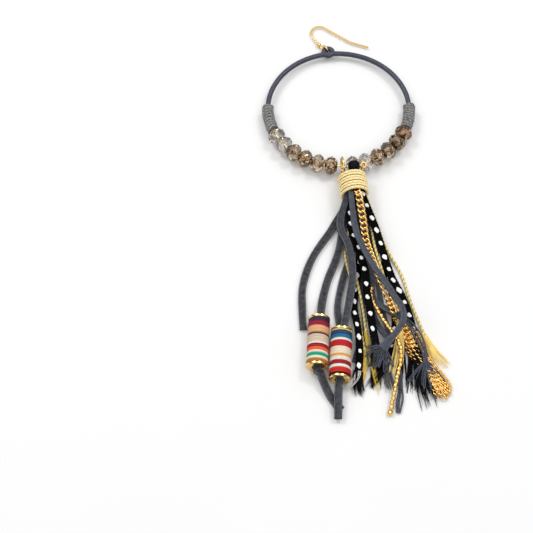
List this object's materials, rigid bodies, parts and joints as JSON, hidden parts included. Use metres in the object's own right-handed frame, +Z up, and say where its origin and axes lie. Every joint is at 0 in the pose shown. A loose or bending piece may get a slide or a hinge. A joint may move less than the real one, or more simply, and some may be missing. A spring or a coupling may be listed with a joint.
{
  "type": "tassel hoop earring",
  "caption": "Hoop earring lying flat: leather-covered ring with faceted glass beads and an ear hook, and a long tassel of suede strips, dotted ribbons, gold cords and chains with striped wound beads.",
  "frame": {"origin": "centre of the earring's box, on the surface that it lies on", "axes": "+Y from the tassel's tips towards the ear hook, along the surface; +X across the hoop, to the right of a person who looks down on it with the hook away from them; +Z up, off the surface"},
  "size_m": [0.0629, 0.1833, 0.0119],
  "materials": {
    "gold_wire": "polished",
    "leather": "matte",
    "thread_grey": "matte",
    "glass_clear": "polished",
    "glass_smoky": "polished",
    "glass_black": "polished",
    "gold_braid": "satin",
    "suede": "matte",
    "ribbon": "matte",
    "gold_cord": "satin",
    "gold_chain": "polished",
    "wound_thread": "satin"
  },
  "bodies": {
    "root": {"ear_hook": "gold_wire", "hoop_wire": "gold_wire", "hoop_leather": "leather", "left_winding": "thread_grey", "right_winding": "thread_grey", "glass_bead_01": "glass_clear", "glass_bead_02": "glass_clear", "glass_bead_03": "glass_smoky", "glass_bead_04": "glass_smoky", "glass_bead_05": "glass_smoky", "glass_bead_06": "glass_smoky", "glass_bead_07": "glass_clear", "glass_bead_08": "glass_clear", "glass_bead_09": "glass_smoky", "glass_bead_10": "glass_smoky", "glass_bead_11": "glass_smoky", "glass_bead_12": "glass_smoky", "drop_ring": "gold_wire", "link_ring": "gold_wire", "bead_pin": "gold_wire", "black_bead": "glass_black", "cap_eye": "gold_wire", "cap_winding": "gold_braid", "suede_fringe": "suede", "dotted_ribbons": "ribbon", "gold_cords": "gold_cord", "curb_chain": "gold_chain", "ball_chain": "gold_chain", "fine_chains": "gold_chain", "wound_bead_1": "wound_thread", "wound_bead_2": "wound_thread", "rim_1_top": "gold_wire", "rim_1_bottom": "gold_wire", "rim_2_top": "gold_wire", "rim_2_bottom": "gold_wire"}
  },
  "joints": []
}
